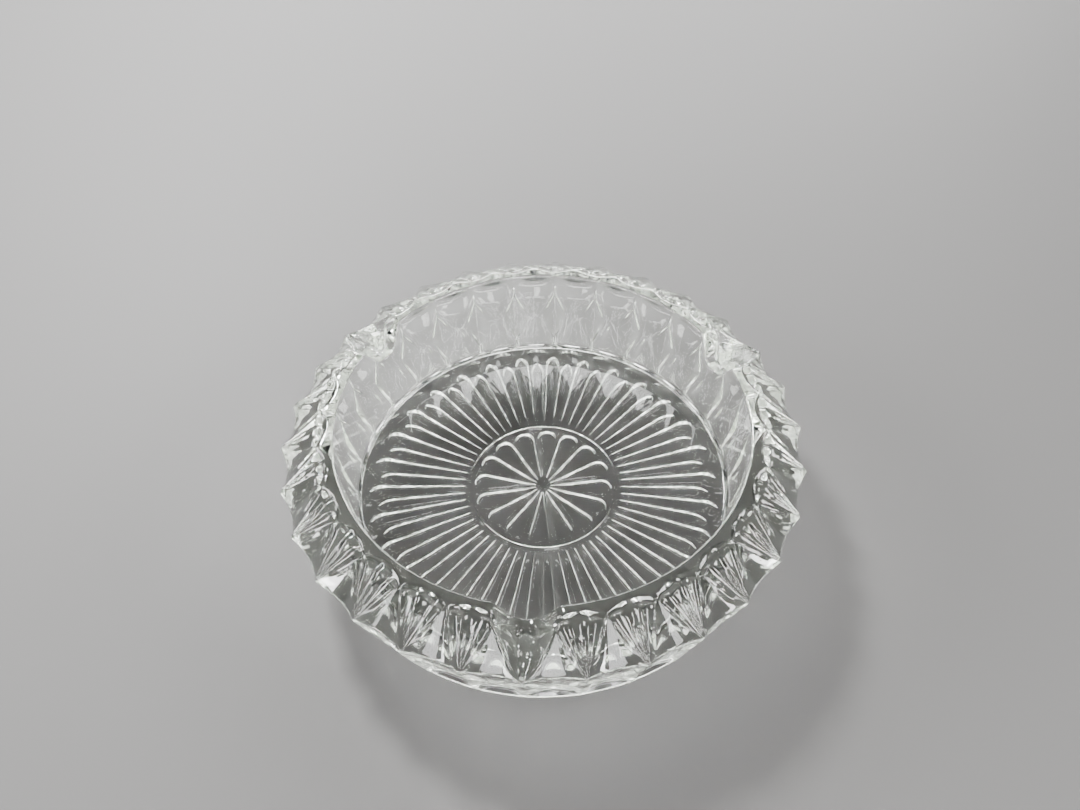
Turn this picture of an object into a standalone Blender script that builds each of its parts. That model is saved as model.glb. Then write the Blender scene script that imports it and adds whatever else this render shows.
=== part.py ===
"""A round dish of clear pressed glass with three rests across its rim.

The dish is one piece of glass. Its origin is the centre of the underside, on the plane of the
foot ring, with +Z up. Thirty pointed tips stand around the rim, and every tip is a station of the
pattern. The first tip is at +Y, and a rest is cut at -Y and at 120 degrees to either side of it.
"""

import math

import bmesh
import bpy
from mathutils import Matrix, Vector

# Driving dimensions, in metres and degrees.
STATIONS = 30
TIP_RADIUS = 0.0770
HEIGHT = 0.0370
TIP_HEIGHT = 0.0280
TIP_BLUNT = 0.0014
RIM_OUTER_RADIUS = 0.0655
RIM_INNER_RADIUS = 0.0600
WALL_TOP_RADIUS = 0.0767
FOOT_RADIUS = 0.0681
FOOT_EDGE = 0.0006

FLOOR_HEIGHT = 0.0070
FLOOR_CORNER_RADIUS = 0.0012
WALL_TAPER = 6.5

REST_COUNT = 3
REST_DEPTH = 0.0092
REST_WIDTH = 0.0180

SCALLOP_FLOOR_SLOPE = 46.0
SCALLOP_HALF_ANGLE = 46.0
SCALLOP_LENGTH = 0.0160
SCALLOP_LIFT = 0.00012

SCOOP_WIDTH = 0.0140
SCOOP_REACH = 0.0125
SCOOP_DEPTH = 0.0011
SCOOP_CENTRE_HEIGHT = 0.0270

PRINT_WIDTH = 0.0130
PRINT_REACH = 0.0105
PRINT_DEPTH = 0.0009
PRINT_CENTRE_HEIGHT = 0.0020

OVAL_RADIUS = 0.0561
OVAL_LENGTH = 0.0052
OVAL_WIDTH = 0.0088
OVAL_DEPTH = 0.0007

RECESS_RADIUS = 0.0595
RECESS_DEPTH = 0.0008
RING_RADIUS = 0.0230
RING_GROOVE = 0.0006

RAY_COUNT = 60
RAY_INNER_RADIUS = 0.0245
LONG_RAY_RADIUS = 0.0546
SHORT_RAY_RADIUS = 0.0517
RAY_FILL = 0.78
RAY_DEPTH = 0.0010

PETAL_COUNT = 16
PETAL_INNER_RADIUS = 0.0030
PETAL_OUTER_RADIUS = 0.0212
PETAL_FILL = 0.80
PETAL_DEPTH = 0.0010

FIRST_STATION = 90.0
PITCH = 360.0 / STATIONS
ROUND_STEPS = 4 * STATIONS
CORNER_STEPS = 4
SCALLOP_SIDES = 22
REST_SIDES = 30
GROOVE_SIDES = 8
HOLLOW_SIDES = 12
HOLLOW_RINGS = 6
HOLLOW_BULGE = 3.0
REST_OVERRUN = 0.0160
CLEARANCE = 0.0020
MERGE = 0.00001


def clear_scene():
    for old in list(bpy.data.objects):
        bpy.data.objects.remove(old, do_unlink=True)


def new_collection(name, parent):
    collection = bpy.data.collections.new(name)
    parent.children.link(collection)
    return collection


def clear_glass():
    """Soda-lime glass, with the faint green that it shows at its thick edges."""
    material = bpy.data.materials.new("clear_pressed_glass")
    material.use_nodes = True
    shader = material.node_tree.nodes["Principled BSDF"]
    shader.inputs["Base Color"].default_value = (0.93, 0.97, 0.94, 1.0)
    shader.inputs["Roughness"].default_value = 0.03
    shader.inputs["Metallic"].default_value = 0.0
    shader.inputs["IOR"].default_value = 1.52
    shader.inputs["Transmission Weight"].default_value = 1.0
    return material


def radial_frame(angle):
    """A matrix that turns +X to this angle around the axis of the dish."""
    return Matrix.Rotation(math.radians(angle), 4, "Z")


def turned(name, profile, steps, collection):
    """A turned solid: profile is (radius, height) from the axis, down the outside, to the axis."""
    mesh = bpy.data.meshes.new(name)
    points = [(radius, 0.0, height) for radius, height in profile]
    edges = [(index, index + 1) for index in range(len(points) - 1)]
    mesh.from_pydata(points, edges, [])
    solid = bpy.data.objects.new(name, mesh)
    collection.objects.link(solid)
    screw = solid.modifiers.new("turn", "SCREW")
    screw.steps = steps
    screw.render_steps = steps
    screw.use_merge_vertices = True
    screw.merge_threshold = MERGE
    return solid


def as_cutter(cutter):
    cutter.hide_render = True
    cutter.display_type = "WIRE"
    return cutter


def solid_cutter(name, collection, build, matrix):
    """A cutter whose mesh the build function makes, placed and scaled by the matrix."""
    shape = bmesh.new()
    build(shape)
    shape.transform(matrix)
    mesh = bpy.data.meshes.new(name)
    shape.to_mesh(mesh)
    shape.free()
    cutter = bpy.data.objects.new(name, mesh)
    collection.objects.link(cutter)
    return as_cutter(cutter)


def cut_by_object(target, cutter):
    cut = target.modifiers.new(cutter.name, "BOOLEAN")
    cut.operation = "DIFFERENCE"
    cut.solver = "EXACT"
    cut.object = cutter


def cut_by_collection(target, cutters):
    cut = target.modifiers.new(cutters.name, "BOOLEAN")
    cut.operation = "DIFFERENCE"
    cut.solver = "EXACT"
    cut.operand_type = "COLLECTION"
    cut.collection = cutters


def outer_block(collection):
    """The glass before anything is cut: thirty flat sides that meet in edges below the tips."""
    profile = [
        (0.0, HEIGHT),
        (RIM_OUTER_RADIUS, HEIGHT),
        (TIP_RADIUS, TIP_HEIGHT),
        (WALL_TOP_RADIUS, TIP_HEIGHT - TIP_BLUNT),
        (FOOT_RADIUS + FOOT_EDGE, FOOT_EDGE),
        (FOOT_RADIUS, 0.0),
        (0.0, 0.0),
    ]
    block = turned("glass_dish", profile, STATIONS, collection)
    block.rotation_euler.z = math.radians(FIRST_STATION % PITCH)
    return block


def bowl_profile():
    """The inner wall leans outwards by the taper and runs into the flat floor on an arc."""
    taper = math.radians(WALL_TAPER)
    top = HEIGHT + CLEARANCE
    floor_wall_radius = RIM_INNER_RADIUS - (HEIGHT - FLOOR_HEIGHT) * math.tan(taper)
    turn = math.pi / 2 - taper
    tangent = FLOOR_CORNER_RADIUS * math.tan(turn / 2)
    centre = Vector((floor_wall_radius - tangent, FLOOR_HEIGHT + FLOOR_CORNER_RADIUS))
    points = [(0.0, top), (RIM_INNER_RADIUS + CLEARANCE * math.tan(taper), top)]
    for step in range(CORNER_STEPS + 1):
        around = -taper - turn * step / CORNER_STEPS
        points.append(
            (
                centre.x + FLOOR_CORNER_RADIUS * math.cos(around),
                centre.y + FLOOR_CORNER_RADIUS * math.sin(around),
            )
        )
    points.append((0.0, FLOOR_HEIGHT))
    return points


def cut_bowl(dish, cutters):
    cutter = as_cutter(turned("bowl_cutter", bowl_profile(), ROUND_STEPS, cutters))
    cut_by_object(dish, cutter)


def cut_recess(dish, cutters):
    """The patterned underside is sunk inside the foot ring, so that only the ring touches."""
    profile = [
        (0.0, RECESS_DEPTH),
        (RECESS_RADIUS, RECESS_DEPTH),
        (RECESS_RADIUS + RECESS_DEPTH + CLEARANCE, -CLEARANCE),
        (0.0, -CLEARANCE),
    ]
    cutter = as_cutter(turned("recess_cutter", profile, ROUND_STEPS, cutters))
    cut_by_object(dish, cutter)


def cut_ring(dish, cutters):
    """A V-shaped ring groove between the rosette and the rays."""
    profile = [
        (RING_RADIUS, RECESS_DEPTH + RING_GROOVE),
        (RING_RADIUS + 2 * RING_GROOVE, RECESS_DEPTH - RING_GROOVE),
        (RING_RADIUS - 2 * RING_GROOVE, RECESS_DEPTH - RING_GROOVE),
        (RING_RADIUS, RECESS_DEPTH + RING_GROOVE),
    ]
    cutter = as_cutter(turned("ring_cutter", profile, ROUND_STEPS, cutters))
    cut_by_object(dish, cutter)


def cut_scallops(dish, cutters):
    """Between two tips a cone with its point on the rim hollows the bevel and the outline."""
    family = new_collection("scallop_cutters", cutters)
    half_angle = math.radians(SCALLOP_HALF_ANGLE)
    lean = math.radians(SCALLOP_FLOOR_SLOPE) - half_angle
    point_radius = RIM_OUTER_RADIUS * math.cos(math.radians(PITCH / 2))
    point = Matrix.Translation((point_radius - SCALLOP_LIFT, 0.0, HEIGHT + SCALLOP_LIFT))
    outwards = Matrix.Rotation(math.pi / 2 + lean, 4, "Y")
    half_length = Matrix.Translation((0.0, 0.0, SCALLOP_LENGTH / 2))

    def cone(shape):
        bmesh.ops.create_cone(
            shape,
            cap_ends=True,
            segments=SCALLOP_SIDES,
            radius1=0.0,
            radius2=SCALLOP_LENGTH * math.tan(half_angle),
            depth=SCALLOP_LENGTH,
        )

    for index in range(STATIONS):
        angle = FIRST_STATION + PITCH * (index + 0.5)
        place = radial_frame(angle) @ point @ outwards @ half_length
        solid_cutter(f"scallop_cutter_{index + 1}", family, cone, place)
    cut_by_collection(dish, family)


def cut_rests(dish, cutters):
    """Each rest is a round trough that runs straight out through the rim."""
    family = new_collection("rest_cutters", cutters)
    radius = ((REST_WIDTH / 2) ** 2 + REST_DEPTH**2) / (2 * REST_DEPTH)
    length = TIP_RADIUS - RIM_INNER_RADIUS + REST_OVERRUN
    middle = (TIP_RADIUS + RIM_INNER_RADIUS) / 2
    trough = Matrix.Translation((middle, 0.0, HEIGHT - REST_DEPTH + radius))
    lie_down = Matrix.Rotation(math.pi / 2, 4, "Y")

    def cylinder(shape):
        bmesh.ops.create_cone(
            shape,
            cap_ends=True,
            segments=REST_SIDES,
            radius1=radius,
            radius2=radius,
            depth=length,
        )

    for index in range(REST_COUNT):
        angle = FIRST_STATION + 180.0 + index * 360.0 / REST_COUNT
        place = radial_frame(angle) @ trough @ lie_down
        solid_cutter(f"rest_cutter_{index + 1}", family, cylinder, place)
    cut_by_collection(dish, family)


def hollow(shape):
    """A ball, which its placing matrix flattens and stretches into a shallow hollow."""
    bmesh.ops.create_uvsphere(
        shape, u_segments=HOLLOW_SIDES, v_segments=HOLLOW_RINGS, radius=1.0
    )


def hollow_size(depth, half_width, half_length):
    """Half sizes of the ball whose part below the surface has this depth, width and length."""
    bulge = HOLLOW_BULGE * depth
    wider = 1.0 / math.sqrt(1.0 - ((bulge - depth) / bulge) ** 2)
    return bulge, wider * half_width, wider * half_length


def cut_wall_hollows(dish, cutters, name, width, reach, depth, height):
    """Hollows on the flat sides, halfway between two tips, of the same lean as the wall."""
    family = new_collection(name + "_cutters", cutters)
    foot = FOOT_RADIUS + FOOT_EDGE
    wall_height = TIP_HEIGHT - TIP_BLUNT - FOOT_EDGE
    lean_out = WALL_TOP_RADIUS - foot
    rise = (height - FOOT_EDGE) / wall_height
    wall = (foot + lean_out * rise) * math.cos(math.radians(PITCH / 2))
    bulge, half_width, half_height = hollow_size(depth, width / 2, reach)
    centre = Matrix.Translation((wall + bulge - depth, 0.0, height))
    lean = Matrix.Rotation(math.atan2(lean_out, wall_height), 4, "Y")
    size = Matrix.Diagonal((bulge, half_width, half_height, 1.0))
    for index in range(STATIONS):
        angle = FIRST_STATION + PITCH * (index + 0.5)
        place = radial_frame(angle) @ centre @ lean @ size
        solid_cutter(f"{name}_cutter_{index + 1}", family, hollow, place)
    cut_by_collection(dish, family)


def cut_wall(dish, cutters):
    """Under the rim a scoop and over the foot an arched print, with the land left between them."""
    cut_wall_hollows(
        dish, cutters, "scoop", SCOOP_WIDTH, SCOOP_REACH, SCOOP_DEPTH, SCOOP_CENTRE_HEIGHT
    )
    cut_wall_hollows(
        dish, cutters, "print", PRINT_WIDTH, PRINT_REACH, PRINT_DEPTH, PRINT_CENTRE_HEIGHT
    )


def cut_ovals(dish, cutters):
    """A ring of shallow ovals in the underside, between the ends of the rays and the foot ring."""
    family = new_collection("oval_cutters", cutters)
    bulge, half_width, half_length = hollow_size(OVAL_DEPTH, OVAL_WIDTH / 2, OVAL_LENGTH / 2)
    centre = Matrix.Translation((OVAL_RADIUS, 0.0, RECESS_DEPTH + OVAL_DEPTH - bulge))
    size = Matrix.Diagonal((half_length, half_width, bulge, 1.0))
    for index in range(STATIONS):
        angle = FIRST_STATION + PITCH * (index + 0.5)
        place = radial_frame(angle) @ centre @ size
        solid_cutter(f"oval_cutter_{index + 1}", family, hollow, place)
    cut_by_collection(dish, family)


def radial_groove(shape, inner_radius, outer_radius, pitch, fill):
    """A cone that lies along +X and widens with the room between its neighbours."""
    half_width = fill * math.tan(math.radians(pitch / 2))
    bmesh.ops.create_cone(
        shape,
        cap_ends=True,
        segments=GROOVE_SIDES,
        radius1=inner_radius * half_width,
        radius2=outer_radius * half_width,
        depth=outer_radius - inner_radius,
    )
    flat_side = Matrix.Rotation(math.pi / GROOVE_SIDES, 3, "Z")
    bmesh.ops.rotate(shape, matrix=flat_side, verts=shape.verts)
    bmesh.ops.rotate(shape, matrix=Matrix.Rotation(math.pi / 2, 3, "Y"), verts=shape.verts)
    middle = (inner_radius + outer_radius) / 2
    bmesh.ops.translate(shape, vec=(middle, 0.0, 0.0), verts=shape.verts)


def cut_grooves(dish, cutters, name, count, inner_radius, outer_radii, fill, depth):
    """A ring of radial grooves in the underside, of lengths that alternate through the list."""
    family = new_collection(name + "_cutters", cutters)
    pitch = 360.0 / count
    for index in range(count):
        outer_radius = outer_radii[index % len(outer_radii)]
        widest = outer_radius * fill * math.tan(math.radians(pitch / 2))
        flatten = Matrix.Diagonal((1.0, 1.0, depth / widest, 1.0))
        plane = Matrix.Translation((0.0, 0.0, RECESS_DEPTH))
        place = radial_frame(FIRST_STATION + pitch * index) @ plane @ flatten

        def groove(shape, reach=outer_radius):
            radial_groove(shape, inner_radius, reach, pitch, fill)

        solid_cutter(f"{name}_cutter_{index + 1}", family, groove, place)
    cut_by_collection(dish, family)


def build_dish():
    clear_scene()
    root = bpy.context.scene.collection
    parts = new_collection("glass_ashtray", root)
    cutters = new_collection("cutters", root)
    dish = outer_block(parts)
    dish.data.materials.append(clear_glass())
    cut_bowl(dish, cutters)
    cut_scallops(dish, cutters)
    cut_rests(dish, cutters)
    cut_wall(dish, cutters)
    cut_recess(dish, cutters)
    cut_ovals(dish, cutters)
    cut_ring(dish, cutters)
    ray_reach = (LONG_RAY_RADIUS, SHORT_RAY_RADIUS)
    cut_grooves(dish, cutters, "ray", RAY_COUNT, RAY_INNER_RADIUS, ray_reach, RAY_FILL, RAY_DEPTH)
    petal_reach = (PETAL_OUTER_RADIUS,)
    cut_grooves(
        dish, cutters, "petal", PETAL_COUNT, PETAL_INNER_RADIUS, petal_reach, PETAL_FILL, PETAL_DEPTH
    )


build_dish()
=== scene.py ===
"""The looks of a round ashtray of clear pressed glass.

One closed skin of glass is drawn ring by ring: from the middle of the floor, up the inner wall,
over the rim and its fans of flutes, down the faceted side, and in to the middle of the patterned
underside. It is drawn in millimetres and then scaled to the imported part's box.
"""

import math

import bpy
import numpy as np
from mathutils import Matrix, Vector


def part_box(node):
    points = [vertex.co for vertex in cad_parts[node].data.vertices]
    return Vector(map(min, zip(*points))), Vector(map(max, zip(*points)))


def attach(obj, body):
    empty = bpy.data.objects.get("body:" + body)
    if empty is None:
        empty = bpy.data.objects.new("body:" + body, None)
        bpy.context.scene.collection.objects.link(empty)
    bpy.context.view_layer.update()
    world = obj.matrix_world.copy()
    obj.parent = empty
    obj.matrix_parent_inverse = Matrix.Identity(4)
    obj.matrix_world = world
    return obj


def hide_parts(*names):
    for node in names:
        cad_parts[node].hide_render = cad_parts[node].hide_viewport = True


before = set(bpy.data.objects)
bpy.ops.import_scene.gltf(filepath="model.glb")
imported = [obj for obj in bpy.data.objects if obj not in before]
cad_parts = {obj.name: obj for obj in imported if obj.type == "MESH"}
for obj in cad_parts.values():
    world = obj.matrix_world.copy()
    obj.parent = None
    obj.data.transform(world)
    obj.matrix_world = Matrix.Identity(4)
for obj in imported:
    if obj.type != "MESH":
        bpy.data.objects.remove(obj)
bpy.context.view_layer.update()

# The drawing, in millimetres and degrees. A station is one of the thirty tips, the first at +Y.
STATIONS = 30
PITCH = 360.0 / STATIONS
HALF = PITCH / 2
FIRST_STATION = 90.0

# The bowl: its floor, its leaning wall, and the lip's round edge as steps out and down.
FLOOR_Z = 7.0
FLOOR_CORNER = 1.2
WALL_TAPER = 6.5
LIP_R = 60.0
LIP_ROUND = 0.9
LIP_PROFILE = ((0.10, 0.50), (0.32, 0.18), (0.70, 0.04))

# The rim: a flat ring that ends in arcs, then the bevel that falls from the arcs to the tips. Two
# arcs meet at a junction. A tip has a radius and a height.
RIM_Z = 37.0
TIP = (77.0, 28.0)
JUNCTION_R = 65.1
ARC_DEPTH = 2.2
ARC_MARGIN = 0.25
RING_STEP = 0.4
RING_STEP_BLEND = 0.5

# The fan under each tip, by share of its half width and by climb from the tip to the rim.
FLUTE_DEPTH = 1.0
FLUTE_SPLIT = 0.45
SHORT_FLUTE_TOP = 0.63
SHORT_FLUTE_HEAD = 0.20
LONG_FLUTE_TOP = 0.97
LONG_FLUTE_HEAD = 0.12
LOBE_HALF_WIDTH = 0.30
LOBE_BOTTOM = 0.56
LOBE_HEAD = 0.30
HEAD_POINT = 0.4

# The short lobes beside each scallop, by share of its half width and by climb.
SIDE_LOBE_WIDTH = 0.5
SIDE_LOBE_RISE = 0.45
SIDE_LOBE_START = 0.35
SIDE_LOBE_TOP = 0.62
SIDE_LOBE_FADE = 0.1

# The rests and their rounded edges. At the bottom of a rest the flutes are deeper by this share.
RESTS = 3
REST_DEPTH = 9.0
REST_ROUND = 5.2
REST_FLANK = 58.0
REST_LIP_BLEND = 1.2
REST_FAN_BLEND = 0.8
REST_FLUTES = 1.5

# The side leans straight out from the foot. Its shapes have heights, and half widths in degrees:
# a scoop and a print are outlines of such pairs. The land is the sunk ground beside the kites.
FOOT_R = 68.5
WALL_LEAN = 0.3036
LAND_DEPTH = 1.6
LAND_FADE = (20.0, 25.0)
LAND_FOOT = 1.5
KITE_TOP_Z = 20.8
KITE_SIDE_Z = 13.6
KITE_BOTTOM_Z = 3.6
KITE_HALF_WIDTH = 3.5
KITE_FALL = 0.34
KITE_EDGE = 0.35
SCOOP = ((14.5, 0.0), (14.9, 0.7), (17.0, 2.5), (19.8, 3.8), (23.3, 5.8), (28.0, 6.0))
SCOOP_DEPTH = 1.7
PRINT = ((0.5, 2.6), (0.9, 4.1), (2.0, 4.7), (6.0, 2.8), (9.0, 1.9), (12.0, 0.8), (12.5, 0.0))
PRINT_DEPTH = 0.8

# The underside: the foot ring as places out and up, and the recess with its ring groove.
FOOT_PROFILE = ((68.45, 0.3), (68.25, 0.08), (67.9, 0.0), (60.6, 0.0), (60.1, 0.15))
RECESS_R = 59.4
RECESS_Z = 0.8
RING_R = 23.0
RING_HALF_WIDTH = 0.55
RING_FLAT = 0.15
RING_DEPTH = 0.5

# Its pattern: long and short rays by turns, lens-shaped hollows beyond them, and the petals.
RAYS = 60
RAY_START_R = 24.4
RAY_START_FADE = 0.5
RAY_ENDS = (54.6, 51.7)
RAY_ARCH = 5.0
RAY_ARCH_POWER = 0.8
RAY_FILL = 0.92
RAY_ROUND = 0.42
LENS_R = 56.1
LENS_HALF_LENGTH = 2.6
LENS_HALF_WIDTH = 4.5
LENS_DEPTH = 0.7
PETALS = 16
PETAL_START_R = 2.0
PETAL_START_FADE = 1.5
PETAL_END_R = 21.6
PETAL_FILL = 0.92
PETAL_BEVEL = 1.35
PETAL_LIP = 0.45
PETAL_LIP_SLOPE = 1.0
PETAL_SLOPE = 0.40

# Columns of the skin: each half station of the bevel has fan columns and scallop columns, and
# each half station of the side has columns for its kite, its land and its hollow. Plain rings
# have a medium or a coarse count.
FAN_COLUMNS = 12
SCALLOP_COLUMNS = 6
HALF_COLUMNS = FAN_COLUMNS + SCALLOP_COLUMNS
KITE_COLUMNS = 4
LAND_COLUMNS = 2
HOLLOW_COLUMNS = 8
RAY_COLUMN_SHARES = (0.45, 0.8)
PETAL_BEVEL_COLUMNS = 4
PETAL_FLAT_COLUMNS = 6
MEDIUM = 480
COARSE = 240

# The fans' columns fill nearly the whole station at the rim and nearly none of it at the tips.
FAN_REACH_AT_RIM = 0.985
FAN_REACH_AT_TIP = 0.05

# Least widths in degrees, which keep columns apart where a shape runs out to nothing.
LEAST_KITE = 0.10
LEAST_HOLLOW = 0.4
LEAST_BESIDE_KITE = 0.6
LEAST_LAND = 0.15
LEAST_RAY = 0.30
LEAST_BETWEEN_RAYS = 0.2

# The same for a petal: the least share of its pitch, and the least flat as a share of the petal.
LEAST_PETAL = 0.2
LEAST_PETAL_FLAT = 0.12

# The least width in millimetres that a share is taken of.
LEAST_WIDTH = 0.01

# Rings of the skin, as radii, heights or counts. The rays' heads and the lenses have a first
# radius, a last one and a step.
FLOOR_RADII = (4.0, 10.0, 18.0, 26.0, 34.0, 42.0, 48.0)
CORNER_RINGS = 7
WALL_RINGS = 5
BEVEL_RINGS = 24
SIDE_TOP_Z = 25.6
OVER_KITE_RINGS = 7
UPPER_KITE_RINGS = 10
LOWER_KITE_RINGS = 12
LOW_SIDE_HEIGHTS = (2.8, 2.1, 1.5, 1.0, 0.6)
RAY_BODY_RADII = (30.0, 37.0, 43.0)
RAY_HEAD_RADII = (43.8, 53.4, 0.5)
LENS_RADII = (53.5, 58.9, 0.4)
PETAL_HEAD_RADII = (22.2, 21.8, 21.6, 21.4, 21.1, 20.7, 20.2, 19.6, 18.9, 18.2)
PETAL_BODY_RADII = (16.5, 14.5, 12.5, 10.5, 8.5, 7.0, 5.5, 4.5, 3.5, 2.8, 2.0)

# The lowest height where the scalloped edge is looked for, and how often the interval is halved.
EDGE_SEARCH_Z = 15.0
EDGE_HALVINGS = 24

# How far each vertex moves to the middle of its neighbours, as a fire polish rounds an edge.
FIRE_POLISH = 0.35

# Lights: name, place and size in metres, power in watts.
LIGHT_AIM = (0.0, 0.0, 0.02)
LIGHTS = (
    ("wall_light", (0.0, 1.10, 0.50), (1.2, 0.4), 20.0),
    ("window_light", (-0.55, 0.75, 0.85), (0.20, 0.20), 22.0),
    ("front_light", (0.25, -0.95, 0.95), (0.32, 0.60), 12.0),
    ("left_light", (-1.10, 0.05, 0.50), (0.70, 0.30), 12.0),
    ("right_light", (1.10, 0.05, 0.50), (0.70, 0.30), 12.0),
    ("front_band", (0.0, -1.10, 0.42), (1.80, 0.22), 14.0),
    ("low_left_light", (-0.75, -0.75, 0.14), (0.35, 0.15), 6.0),
    ("low_right_light", (0.75, -0.75, 0.14), (0.35, 0.15), 6.0),
)
FLOOR_SIZE = 6.0

# The camera, from the photograph's viewing angle. Distances are in units of the tips' radius, and
# its height counts from the underside's pattern as refraction lifts it, in the drawing's
# millimetres. The lens and the sensor are in millimetres too.
CAMERA_DISTANCE = 4.07
CAMERA_ASIDE = 0.10
CAMERA_ELEVATION = 54.9
CAMERA_PITCH = 50.26
CAMERA_TURN = 2.3
CAMERA_YAW = -1.64
CAMERA_ROLL = 0.58
PATTERN_LIFT = 3.4
CAMERA_LENS = 33.1
SENSOR_WIDTH = 36.0


def unit(angles):
    """Unit vectors in the plane at these angles in degrees, as an array of rows."""
    radians = np.radians(angles)
    return np.stack([np.cos(radians), np.sin(radians)], axis=-1)


def softer_min(first, second, blend):
    """The lower of two heights, with a round corner of the blend's size where they cross."""
    mix = np.clip(0.5 + 0.5 * (second - first) / blend, 0.0, 1.0)
    return second * (1 - mix) + first * mix - blend * mix * (1 - mix)


def even_angles(count):
    return FIRST_STATION + np.arange(count) * 360.0 / count


def from_station(angles, pitch=PITCH):
    """The angle from the nearest station, between minus and plus half a pitch."""
    return (angles - FIRST_STATION + pitch / 2) % pitch - pitch / 2


def from_half_station(angles):
    """The angle from the nearest place midway between two stations."""
    return (angles - FIRST_STATION) % PITCH - HALF


def local(points, offsets):
    """Points in the frame of their own station: distance out along it, and across it."""
    radius = np.hypot(points[:, 0], points[:, 1])
    return radius * np.cos(np.radians(offsets)), radius * np.sin(np.radians(offsets))


def angle_of(points):
    return np.degrees(np.arctan2(points[:, 1], points[:, 0]))


# The rests.

def rest_height(points):
    """The height of the three troughs over these points: a round bottom between straight flanks."""
    height = np.full(len(points), 2 * RIM_Z)
    steep = math.radians(REST_FLANK)
    straight = REST_ROUND * math.sin(steep)
    rise = REST_ROUND * (1 - math.cos(steep))
    for index in range(RESTS):
        along = unit(FIRST_STATION + 180.0 + 360.0 * index / RESTS)
        ahead = points[:, 0] * along[0] + points[:, 1] * along[1]
        aside = np.abs(points[:, 1] * along[0] - points[:, 0] * along[1])
        bottom = REST_ROUND - np.sqrt(REST_ROUND**2 - np.minimum(aside, straight) ** 2)
        flank = rise + (aside - straight) * math.tan(steep)
        trough = RIM_Z - REST_DEPTH + np.where(aside < straight, bottom, flank)
        height = np.where(ahead > 0, np.minimum(height, trough), height)
    return height


def below_rests(points, heights, blend=REST_LIP_BLEND):
    """These heights, cut down by the rests with a rounded edge."""
    return softer_min(heights, rest_height(points), blend)


# The bevel of the rim: fans of flutes that run to the tips, and scallops between the tips.

def fan_plane(points, offsets):
    """The plane through a tip and the two junctions beside it, stopped just below the rim."""
    out, _ = local(points, offsets)
    inner = JUNCTION_R * math.cos(math.radians(HALF))
    slope = (RIM_Z - TIP[1]) / (TIP[0] - inner)
    top = np.full(len(out), RIM_Z - RING_STEP)
    return softer_min(TIP[1] + (TIP[0] - out) * slope, top, RING_STEP_BLEND)


def scallop_cone(points, offsets):
    """The height of the level cone that starts at the junction and passes through both tips."""
    out, across = local(points, offsets)
    tip_out = TIP[0] * math.cos(math.radians(HALF)) - JUNCTION_R
    tip_across = TIP[0] * math.sin(math.radians(HALF))
    tip_down = RIM_Z - TIP[1]
    widening = math.hypot(tip_across, tip_down) / tip_out
    cone_r = (out - JUNCTION_R) * widening
    return RIM_Z - np.sqrt(np.maximum(cone_r**2 - across**2, 0.0))


def rib(across, height, share):
    """How far a rib's surface lies under its crest, for a rib of this height and head's share."""
    return height * (1 - np.cos(0.5 * math.pi * np.clip(across, -1, 1)) * share)


def rounded_head(along, across, head):
    """A rib's share of its height: one along its body, falling to zero round its head."""
    inside = np.clip((along - 1.0) / head + 1.0, 0.0, None)
    reach = np.clip(1.0 - inside**2 - HEAD_POINT * inside * across**2, 0.0, 1.0)
    return np.where(along < 1.0 - head, 1.0, np.sqrt(reach))


def fan_relief(share, climb):
    """How deep the flutes of a fan lie, by share of the half fan and by climb from tip to rim.

    Two short flutes run up from the tip on either side of the middle, two long ones run on to the
    rim beside them, and a lobe hangs from the rim between the heads of the short ones.
    """
    height = FLUTE_DEPTH * climb
    short_half = FLUTE_SPLIT / 2
    inner = (share - short_half) / short_half
    short = rib(inner, height, rounded_head(climb / SHORT_FLUTE_TOP, inner, SHORT_FLUTE_HEAD))
    lobe_share = share / LOBE_HALF_WIDTH
    lobe = rib(lobe_share, height, rounded_head(1.0 + LOBE_BOTTOM - climb, lobe_share, LOBE_HEAD))
    lobe = np.where(lobe_share < 1.0, lobe, height)
    middle = np.minimum(short, np.where(climb > LOBE_BOTTOM, lobe, height))
    outer = (share - (1.0 + FLUTE_SPLIT) / 2) / ((1.0 - FLUTE_SPLIT) / 2)
    long = rib(outer, height, rounded_head(climb / LONG_FLUTE_TOP, outer, LONG_FLUTE_HEAD))
    return np.where(share < FLUTE_SPLIT, middle, long)


def side_lobe_relief(share, climb):
    """The short lobe on either side of a scallop, by share of the half scallop from its ridge."""
    crest = np.sin(math.pi * np.clip(share / SIDE_LOBE_WIDTH, 0.0, 1.0))
    start = np.clip(climb / SIDE_LOBE_START, 0.0, 1.0)
    end = np.clip((SIDE_LOBE_TOP - climb) / SIDE_LOBE_FADE, 0.0, 1.0)
    return SIDE_LOBE_RISE * crest * start * end


# The side: a kite under every tip, a scoop above and an arched print below between two kites.

def envelope_radius(heights):
    """The radius of the plain side, before anything is sunk into it."""
    return np.minimum(FOOT_R + WALL_LEAN * heights, TIP[0])


def kite_width(heights):
    """Half width of a kite in degrees at these heights."""
    upper = (KITE_TOP_Z - heights) / (KITE_TOP_Z - KITE_SIDE_Z)
    lower = (heights - KITE_BOTTOM_Z) / (KITE_SIDE_Z - KITE_BOTTOM_Z)
    return KITE_HALF_WIDTH * np.clip(np.minimum(upper, lower), 0.0, 1.0)


def hollow_width(heights, outline):
    """Half width in degrees of a scoop or a print at these heights."""
    levels = np.array(outline)
    return np.interp(heights, levels[:, 0], levels[:, 1], left=0.0, right=0.0)


def hollow_depth(aside, width, depth):
    """Depth of a round-bottomed hollow at these angles from its middle."""
    share = np.clip(1 - (aside / np.maximum(width, LEAST_WIDTH)) ** 2, 0.0, 1.0)
    return depth * np.where(width > 0, share, 0.0)


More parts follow.
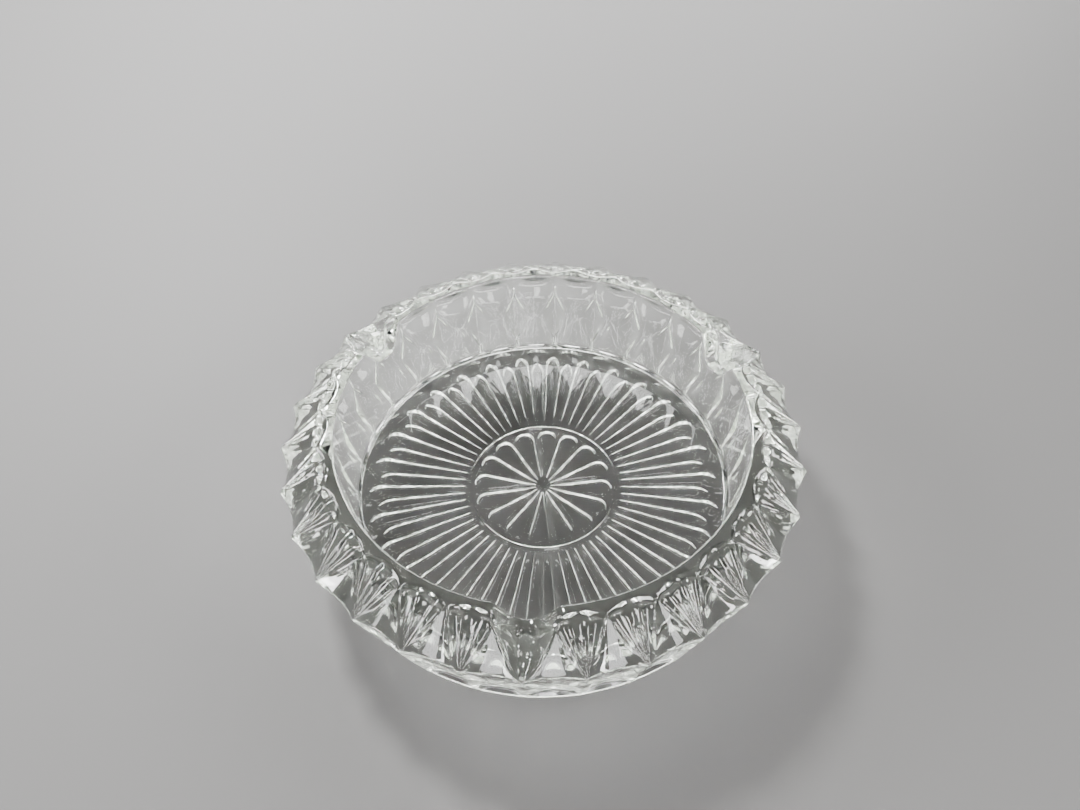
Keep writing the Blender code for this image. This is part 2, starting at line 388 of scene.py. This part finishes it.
def side_radius(angles, heights):
    """The outer radius of the side at these angles and heights."""
    heights = np.broadcast_to(heights, angles.shape)
    radius = envelope_radius(heights)
    beside = np.abs(from_station(angles))
    aside = np.abs(from_half_station(angles))
    kite = kite_width(heights)
    fade = np.clip((LAND_FADE[1] - heights) / (LAND_FADE[1] - LAND_FADE[0]), 0.0, 1.0)
    foot = np.clip(heights / LAND_FOOT, 0.0, 1.0)
    over = np.clip((beside - kite) / KITE_EDGE, 0.0, 1.0)
    land = LAND_DEPTH * fade * foot
    fall = KITE_FALL * np.minimum(beside, kite) * radius * math.radians(1.0)
    scoop_share = np.clip((heights - SCOOP[0][0]) / (TIP[1] - SCOOP[0][0]), 0.0, 1.0)
    scoop = hollow_depth(aside, hollow_width(heights, SCOOP), SCOOP_DEPTH * scoop_share)
    low = hollow_depth(aside, hollow_width(heights, PRINT), PRINT_DEPTH) * foot
    return radius - np.minimum(fall, land) * (1 - over) - land * over - scoop - low


def side_columns(height):
    """Angles of the side's columns at one height, which follow the kite and the hollow."""
    kite = max(float(kite_width(height)), LEAST_KITE)
    hollow = float(hollow_width(height, SCOOP) + hollow_width(height, PRINT))
    edge = min(kite + KITE_EDGE, HALF - LEAST_BESIDE_KITE)
    start = min(max(HALF - hollow, edge + LEAST_LAND), HALF - LEAST_HOLLOW)
    half = np.concatenate([
        np.linspace(0.0, kite, KITE_COLUMNS + 1),
        np.linspace(edge, start, LAND_COLUMNS + 1),
        np.linspace(start, HALF, HOLLOW_COLUMNS + 1)[1:],
    ])
    return whole_turn(half)


def edge_heights(angles):
    """Where the scallop meets the side, found by halving an interval at every angle."""
    low = np.full(len(angles), EDGE_SEARCH_Z)
    high = np.full(len(angles), TIP[1])
    for _ in range(EDGE_HALVINGS):
        middle = (low + high) / 2
        points = unit(angles) * side_radius(angles, middle)[:, None]
        above = scallop_cone(points, from_half_station(angles)) > middle
        low = np.where(above, middle, low)
        high = np.where(above, high, middle)
    return low


# The pattern of the underside.

def ray_depth(radius, offsets, ends):
    """Depth of a ray with this outer end, at an offset in degrees from its middle."""
    across = np.abs(radius * np.sin(np.radians(offsets)))
    widest = RAY_FILL * radius * math.sin(math.radians(180.0 / RAYS))
    arch = np.clip((radius - (ends - RAY_ARCH)) / RAY_ARCH, 0.0, 1.0)
    half_width = widest * (1 - arch**2) ** RAY_ARCH_POWER
    share = np.clip(across / np.maximum(half_width, LEAST_WIDTH), 0.0, 1.0)
    return RAY_ROUND * half_width * np.sqrt(1 - share**2)


def lens_width(radius):
    """Half width in millimetres of the lens-shaped hollows beyond the rays."""
    return LENS_HALF_WIDTH * math.sqrt(max(1 - abs(radius - LENS_R) / LENS_HALF_LENGTH, 0.0))


def lens_depth(radius, angles):
    across = np.abs(radius * np.sin(np.radians(from_half_station(angles))))
    along = abs(radius - LENS_R) / LENS_HALF_LENGTH
    return LENS_DEPTH * np.clip(1 - along - (across / LENS_HALF_WIDTH) ** 2, 0.0, 1.0)


def petal_outline(radius):
    """Centre and radius of a petal's round end, and its half width where its sides are straight."""
    spread = PETAL_FILL * math.sin(math.radians(180.0 / PETALS))
    round_r = PETAL_END_R / (1 + spread)
    widest = round_r * spread
    return round_r, widest, spread * radius


def petal_depth(radius, offsets):
    """Depth of the rosette at an offset in degrees from the middle of a petal."""
    across = np.abs(radius * np.sin(np.radians(offsets)))
    out = radius * np.cos(np.radians(offsets))
    round_r, widest, half_width = petal_outline(radius)
    inside = np.where(out > round_r, widest - np.hypot(out - round_r, across), half_width - across)
    taper = np.clip((radius - PETAL_START_R) / PETAL_START_FADE, 0.0, 1.0)
    lip = PETAL_LIP_SLOPE * np.clip(inside, 0.0, PETAL_LIP)
    bevel = PETAL_SLOPE * np.clip(inside - PETAL_LIP, 0.0, PETAL_BEVEL - PETAL_LIP)
    return (lip + bevel) * taper


# Rings of the skin.

def ring_at(angles, radius, height):
    """A ring of points at these angles; radius and height are numbers or arrays."""
    points = unit(angles) * np.broadcast_to(radius, len(angles))[:, None]
    return np.column_stack([points, np.broadcast_to(height, len(angles))])


def column_shares(fan_reach):
    """Places of a half station's columns from 0 to 1, with the fan's columns inside fan_reach."""
    fan = np.linspace(0.0, fan_reach, FAN_COLUMNS + 1)
    scallop = np.linspace(fan_reach, 1.0, SCALLOP_COLUMNS + 1)[1:]
    return np.concatenate([fan, scallop])


def whole_turn(half):
    """A half station's column angles, mirrored and repeated round the dish."""
    one = np.concatenate([half[:-1], PITCH - half[:0:-1]])
    return (FIRST_STATION + PITCH * np.arange(STATIONS)[:, None] + one[None, :]).ravel()


def station_angles(fan_reach):
    return whole_turn(column_shares(fan_reach) * HALF)


def fan_shares():
    """Every fine column's share of the half fan, and its share of the half scallop beyond it."""
    half = np.arange(HALF_COLUMNS + 1)
    fan = np.minimum(half / FAN_COLUMNS, 1.0)
    scallop = np.clip((half - FAN_COLUMNS) / SCALLOP_COLUMNS, 0.0, 1.0)
    one_fan = np.concatenate([fan[:-1], fan[:0:-1]])
    one_scallop = np.concatenate([scallop[:-1], scallop[:0:-1]])
    return np.tile(one_fan, STATIONS), np.tile(one_scallop, STATIONS)


def floor_rings():
    return [ring_at(even_angles(COARSE), radius, FLOOR_Z) for radius in FLOOR_RADII]


def wall_radius(heights):
    return LIP_R - (RIM_Z - heights) * math.tan(math.radians(WALL_TAPER))


def bowl_wall_rings():
    """The floor's round corner and the inner wall, which ends lower where a rest crosses it."""
    angles = even_angles(MEDIUM)
    taper = math.radians(WALL_TAPER)
    turn = math.pi / 2 - taper
    centre_r = wall_radius(FLOOR_Z) - FLOOR_CORNER * math.tan(turn / 2)
    rings = []
    for step in np.linspace(0.0, 1.0, CORNER_RINGS):
        around = -math.pi / 2 + turn * step
        radius = centre_r + FLOOR_CORNER * math.cos(around)
        height = FLOOR_Z + FLOOR_CORNER + FLOOR_CORNER * math.sin(around)
        rings.append(ring_at(angles, radius, height))
    top = rim_height(angles) - LIP_ROUND
    for step in np.linspace(0.0, 1.0, WALL_RINGS + 1)[1:]:
        heights = height + (top - height) * step
        rings.append(ring_at(angles, wall_radius(heights), heights))
    return rings


def rim_height(angles):
    points = unit(angles) * LIP_R
    return below_rests(points, np.full(len(angles), RIM_Z))


def rim_rings():
    """The lip's small round edge and the narrow flat ring, out to the arcs where the fans start."""
    angles = station_angles(FAN_COLUMNS / HALF_COLUMNS)
    top = rim_height(angles)
    inner = wall_radius(top - LIP_ROUND)
    rings = [ring_at(angles, inner, top - LIP_ROUND)]
    for out, down in LIP_PROFILE:
        rings.append(ring_at(angles, inner + out, top - down))
    start = station_angles(FAN_REACH_AT_RIM)
    arc = arc_radius(start) - ARC_MARGIN
    rings.append(on_rim(angles, (inner + LIP_PROFILE[-1][0] + arc) / 2))
    rings.append(on_rim(start, arc))
    return rings


def on_rim(angles, radius):
    """A ring of points on the rim's flat top, or in a rest where one crosses it."""
    points = unit(angles) * radius[:, None]
    return np.column_stack([points, below_rests(points, np.full(len(angles), RIM_Z))])


def arc_radius(angles):
    """The fans start on arcs that reach inwards between the junctions."""
    share = from_station(angles) / HALF
    return JUNCTION_R - ARC_DEPTH * (1 - share**2)


def bevel_rings():
    """From the arcs to the tips and the scalloped edge, column by column in straight lines."""
    start_angles = station_angles(FAN_REACH_AT_RIM)
    end_angles = station_angles(FAN_REACH_AT_TIP)
    start = unit(start_angles) * arc_radius(start_angles)[:, None]
    heights = edge_heights(end_angles)
    end = unit(end_angles) * side_radius(end_angles, heights)[:, None]
    fan_share, scallop_share = fan_shares()
    in_fan = scallop_share <= 0
    rings = []
    for step in np.linspace(0.0, 1.0, BEVEL_RINGS):
        points = start + (end - start) * step
        angles = angle_of(points)
        fan = fan_plane(points, from_station(angles))
        scallop = np.minimum(scallop_cone(points, from_half_station(angles)), RIM_Z - RING_STEP)
        plain = np.where(in_fan, fan, scallop)
        height = below_rests(points, plain, REST_FAN_BLEND)
        deeper = 1 + REST_FLUTES * np.clip((plain - height) / REST_DEPTH, 0.0, 1.0)
        flutes = fan_relief(fan_share, 1 - step)
        lobes = side_lobe_relief(scallop_share, 1 - step)
        relief = np.where(in_fan, flutes, -lobes) * deeper
        rings.append(np.column_stack([points, height - relief]))
    return rings


def side_rings():
    """From just under the scalloped edge down to the foot."""
    heights = np.concatenate([
        np.linspace(SIDE_TOP_Z, KITE_TOP_Z, OVER_KITE_RINGS),
        np.linspace(KITE_TOP_Z, KITE_SIDE_Z, UPPER_KITE_RINGS + 1)[1:],
        np.linspace(KITE_SIDE_Z, KITE_BOTTOM_Z, LOWER_KITE_RINGS + 1)[1:],
        LOW_SIDE_HEIGHTS,
    ])
    return [ring_at(side_columns(z), side_radius(side_columns(z), z), z) for z in heights]


def foot_rings():
    """The foot's small round edge, the flat ring that touches the table, and the recess."""
    angles = even_angles(MEDIUM)
    profile = FOOT_PROFILE + ((RECESS_R, RECESS_Z),)
    return [ring_at(angles, radius, height) for radius, height in profile]


def ray_width(radius, end):
    """Half width in degrees of a ray with this outer end."""
    arch = min(max((radius - (end - RAY_ARCH)) / RAY_ARCH, 0.0), 1.0)
    return RAY_FILL * 180.0 / RAYS * (1 - arch**2) ** RAY_ARCH_POWER


def ray_columns(radius):
    """Angles of the columns of the sunburst, which follow the rays and the lenses beyond them."""
    long_ray = max(ray_width(radius, RAY_ENDS[0]), LEAST_RAY)
    short_ray = max(ray_width(radius, RAY_ENDS[1]), LEAST_RAY)
    lens = math.degrees(lens_width(radius) / radius)
    short_ray = max(short_ray, lens)
    start = max(HALF - short_ray, long_ray + LEAST_BETWEEN_RAYS)
    near, far = RAY_COLUMN_SHARES
    half = np.array([
        0.0, near * long_ray, far * long_ray, long_ray, (long_ray + start) / 2,
        start, HALF - far * short_ray, HALF - near * short_ray, HALF,
    ])
    return whole_turn(half)


def sunburst_rings():
    """From the recess's edge in to the ring groove, over the lenses and the rays."""
    body = [RAY_START_R, RAY_START_R + RAY_START_FADE, *RAY_BODY_RADII]
    heads = [*np.arange(*RAY_HEAD_RADII), *np.arange(*LENS_RADII)]
    pitch = 360.0 / RAYS
    rings = []
    for radius in reversed(body + heads):
        angles = ray_columns(radius)
        offsets = from_station(angles, pitch)
        index = np.round((angles - FIRST_STATION) / pitch).astype(int) % len(RAY_ENDS)
        ends = np.array(RAY_ENDS)[index]
        start = min((radius - RAY_START_R) / RAY_START_FADE, 1.0)
        depth = ray_depth(radius, offsets, ends) * start
        depth = np.maximum(depth, lens_depth(radius, angles))
        rings.append(ring_at(angles, radius, RECESS_Z + depth))
    return rings


def ring_groove_rings():
    """The narrow ring groove between the sunburst and the rosette."""
    angles = even_angles(COARSE)
    outer_half = ((RING_HALF_WIDTH, 0.0), (RING_FLAT, RING_DEPTH))
    inner_half = ((-RING_FLAT, RING_DEPTH), (-RING_HALF_WIDTH, 0.0))
    return [ring_at(angles, RING_R + out, RECESS_Z + up) for out, up in outer_half + inner_half]


def petal_columns(radius):
    """Angles of every petal's columns, which follow its outline and its bevel."""
    round_r, widest, half_width = petal_outline(radius)
    if radius > round_r:
        half_width = math.sqrt(max(widest**2 - (radius - round_r) ** 2, 0.0))
    half_pitch = radius * math.sin(math.radians(180.0 / PETALS))
    edge = max(half_width / half_pitch, LEAST_PETAL)
    flat = max(edge - PETAL_BEVEL / half_pitch, LEAST_PETAL_FLAT * edge)
    bevel = np.linspace(flat, edge, PETAL_BEVEL_COLUMNS)
    middle = np.linspace(-flat, flat, PETAL_FLAT_COLUMNS + 2)[1:-1]
    shares = np.concatenate([-bevel[::-1], middle, bevel])
    shares = np.append(shares, 1.0)
    pitch = 360.0 / PETALS
    start = FIRST_STATION + pitch * np.arange(PETALS)
    return (start[:, None] + pitch / 2 * shares[None, :]).ravel()


def rosette_rings():
    """From the ring groove in to the middle, over the petals."""
    rings = []
    for radius in PETAL_HEAD_RADII + PETAL_BODY_RADII:
        angles = petal_columns(radius)
        offsets = from_station(angles, 360.0 / PETALS)
        rings.append(ring_at(angles, radius, RECESS_Z + petal_depth(radius, offsets)))
    return rings


def turned_to(ring, first):
    """The ring renumbered so that its columns start nearest the other ring's first column."""
    angles = angle_of(ring)
    gap = np.abs((angles - angle_of(first[:1]) + 180.0) % 360.0 - 180.0)
    return np.roll(ring, -int(np.argmin(gap)), axis=0)


def stitch(first, ring, second, other):
    """Faces between two rings, the second further along the skin, whose columns may differ."""
    if len(ring) == len(other):
        count = len(ring)
        pairs = [(index, (index + 1) % count) for index in range(count)]
        return [(first + a, second + a, second + b, first + b) for a, b in pairs]
    faces = []
    start = angle_of(ring[:1])
    here = (angle_of(ring) - start + 180.0 / len(ring)) % 360.0
    there = (angle_of(other) - start + 180.0 / len(ring)) % 360.0
    here = np.append(here, here[0] + 360.0)
    there = np.append(there, there[0] + 360.0)
    a = b = 0
    while a < len(ring) or b < len(other):
        after_a = (a + 1) % len(ring)
        after_b = (b + 1) % len(other)
        if b == len(other) or (a < len(ring) and here[a + 1] <= there[b + 1]):
            faces.append((first + a, second + b % len(other), first + after_a))
            a += 1
        else:
            faces.append((first + a % len(ring), second + b, second + after_b))
            b += 1
    return faces


def skin_of(rings, first_centre, last_centre):
    """Vertices and faces of the closed skin through the rings, with a fan at each centre."""
    points = [first_centre]
    faces = []
    start = 1
    for index, ring in enumerate(rings):
        points.extend(ring.tolist())
        count = len(ring)
        if index == 0:
            faces += [(0, start + j, start + (j + 1) % count) for j in range(count)]
        else:
            faces += stitch(before, rings[index - 1], start, ring)
        before, before_count = start, count
        start += count
    points.append(last_centre)
    faces += [(start, before + (j + 1) % before_count, before + j) for j in range(before_count)]
    return np.array(points), faces


def glass_skin():
    """Vertices and faces of the whole dish, from the middle of the floor to the underside's."""
    rings = floor_rings() + bowl_wall_rings() + rim_rings() + bevel_rings()
    rings += side_rings() + foot_rings() + sunburst_rings()
    rings += ring_groove_rings() + rosette_rings()
    for index in range(1, len(rings)):
        rings[index] = turned_to(rings[index], rings[index - 1])
    return skin_of(rings, (0.0, 0.0, FLOOR_Z), (0.0, 0.0, RECESS_Z))


def build_dish(material):
    """The dish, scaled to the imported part's box."""
    low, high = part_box("glass_dish")
    scale = ((high[1] - low[1]) / (2 * TIP[0]), (high[2] - low[2]) / RIM_Z)
    points, faces = glass_skin()
    middle = ((low[0] + high[0]) / 2, (low[1] + high[1]) / 2, low[2])
    points = points * (scale[0], scale[0], scale[1]) + middle
    mesh = bpy.data.meshes.new("pressed_glass_dish")
    mesh.from_pydata(points.tolist(), [], faces)
    mesh.materials.append(material)
    dish = bpy.data.objects.new("pressed_glass_dish", mesh)
    bpy.context.scene.collection.objects.link(dish)
    mesh.shade_smooth()
    polish = dish.modifiers.new("fire_polish", "SMOOTH")
    polish.factor = FIRE_POLISH
    polish.iterations = 1
    return dish


def linked(links, source, output, target, socket):
    links.new(source.outputs[output], target.inputs[socket])


def glass_material():
    """Clear glass with the faint waves and the uneven polish that pressing leaves on its skin."""
    material = bpy.data.materials.new("clear_pressed_glass")
    material.use_nodes = True
    nodes = material.node_tree.nodes
    links = material.node_tree.links
    shader = nodes["Principled BSDF"]
    shader.inputs["Base Color"].default_value = (1.0, 1.0, 1.0, 1.0)
    shader.inputs["Transmission Weight"].default_value = 1.0
    shader.inputs["IOR"].default_value = 1.52
    place = nodes.new("ShaderNodeTexCoord")
    waves = nodes.new("ShaderNodeTexNoise")
    waves.inputs["Scale"].default_value = 160.0
    waves.inputs["Detail"].default_value = 2.0
    linked(links, place, "Object", waves, "Vector")
    bump = nodes.new("ShaderNodeBump")
    bump.inputs["Strength"].default_value = 0.06
    bump.inputs["Distance"].default_value = 0.0003
    linked(links, waves, "Fac", bump, "Height")
    linked(links, bump, "Normal", shader, "Normal")
    polish = nodes.new("ShaderNodeTexNoise")
    polish.inputs["Scale"].default_value = 45.0
    polish.inputs["Detail"].default_value = 4.0
    linked(links, place, "Object", polish, "Vector")
    gloss = nodes.new("ShaderNodeMapRange")
    gloss.inputs["From Min"].default_value = 0.55
    gloss.inputs["From Max"].default_value = 0.80
    gloss.inputs["To Min"].default_value = 0.0
    gloss.inputs["To Max"].default_value = 0.06
    linked(links, polish, "Fac", gloss, "Value")
    linked(links, gloss, "Result", shader, "Roughness")
    tint = nodes.new("ShaderNodeVolumeAbsorption")
    tint.inputs["Color"].default_value = (0.85, 0.93, 0.78, 1.0)
    tint.inputs["Density"].default_value = 6.0
    linked(links, tint, "Volume", nodes["Material Output"], "Volume")
    return material


def floor_material():
    material = bpy.data.materials.new("pale_floor")
    material.use_nodes = True
    shader = material.node_tree.nodes["Principled BSDF"]
    shader.inputs["Base Color"].default_value = (0.125, 0.123, 0.121, 1.0)
    shader.inputs["Roughness"].default_value = 0.6
    return material


def build_stage():
    bpy.ops.mesh.primitive_plane_add(size=FLOOR_SIZE)
    floor = bpy.context.object
    floor.name = "floor"
    floor.data.materials.append(floor_material())


def soft_light(name, place, size, power):
    light = bpy.data.lights.new(name, "AREA")
    light.shape = "RECTANGLE"
    light.size, light.size_y = size
    light.energy = power
    lamp = bpy.data.objects.new(name, light)
    lamp.location = place
    lamp.rotation_euler = (Vector(LIGHT_AIM) - Vector(place)).to_track_quat("-Z", "Y").to_euler()
    lamp.visible_camera = False
    bpy.context.scene.collection.objects.link(lamp)


def studio_world():
    world = bpy.data.worlds.new("studio")
    bpy.context.scene.world = world
    world.use_nodes = True
    background = world.node_tree.nodes["Background"]
    background.inputs["Color"].default_value = (0.9, 0.95, 1.0, 1.0)
    background.inputs["Strength"].default_value = 0.02


def build_lights():
    """Soft panels all round, a dim world, and enough bounces for light to cross the facets."""
    for light in LIGHTS:
        soft_light(*light)
    studio_world()
    cycles = bpy.context.scene.cycles
    cycles.max_bounces = 32
    cycles.transmission_bounces = 24
    cycles.glossy_bounces = 16
    bpy.context.scene.view_settings.look = "AgX - Medium High Contrast"


def turned(first, second, degrees):
    """Two axes at right angles, turned in their own plane from the first towards the second."""
    cosine, sine = math.cos(math.radians(degrees)), math.sin(math.radians(degrees))
    return first * cosine + second * sine, second * cosine - first * sine


def build_camera():
    low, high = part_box("glass_dish")
    radius = (high[1] - low[1]) / 2
    camera_data = bpy.data.cameras.new("camera")
    camera_data.sensor_width = SENSOR_WIDTH
    camera_data.lens = CAMERA_LENS
    camera_data.clip_start = 0.01
    camera = bpy.data.objects.new("camera", camera_data)
    bpy.context.scene.collection.objects.link(camera)
    elevation = math.radians(CAMERA_ELEVATION)
    back = CAMERA_DISTANCE * math.cos(elevation)
    lift = CAMERA_DISTANCE * math.sin(elevation) + PATTERN_LIFT / TIP[0]
    place = Vector((CAMERA_ASIDE, -back, lift)) * radius
    pitch = math.radians(CAMERA_PITCH)
    ahead = Vector((0.0, math.cos(pitch), -math.sin(pitch)))
    up = Vector((0.0, math.sin(pitch), math.cos(pitch)))
    ahead, right = turned(ahead, Vector((1.0, 0.0, 0.0)), CAMERA_YAW)
    right, up = turned(right, up, CAMERA_ROLL)
    axes = Matrix((right, up, -ahead)).transposed().to_4x4()
    turn = Matrix.Rotation(math.radians(CAMERA_TURN), 4, "Z")
    camera.matrix_world = turn @ Matrix.Translation(place) @ axes
    bpy.context.scene.camera = camera


dish = build_dish(glass_material())
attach(dish, "root")
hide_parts("glass_dish")
build_stage()
build_lights()
build_camera()
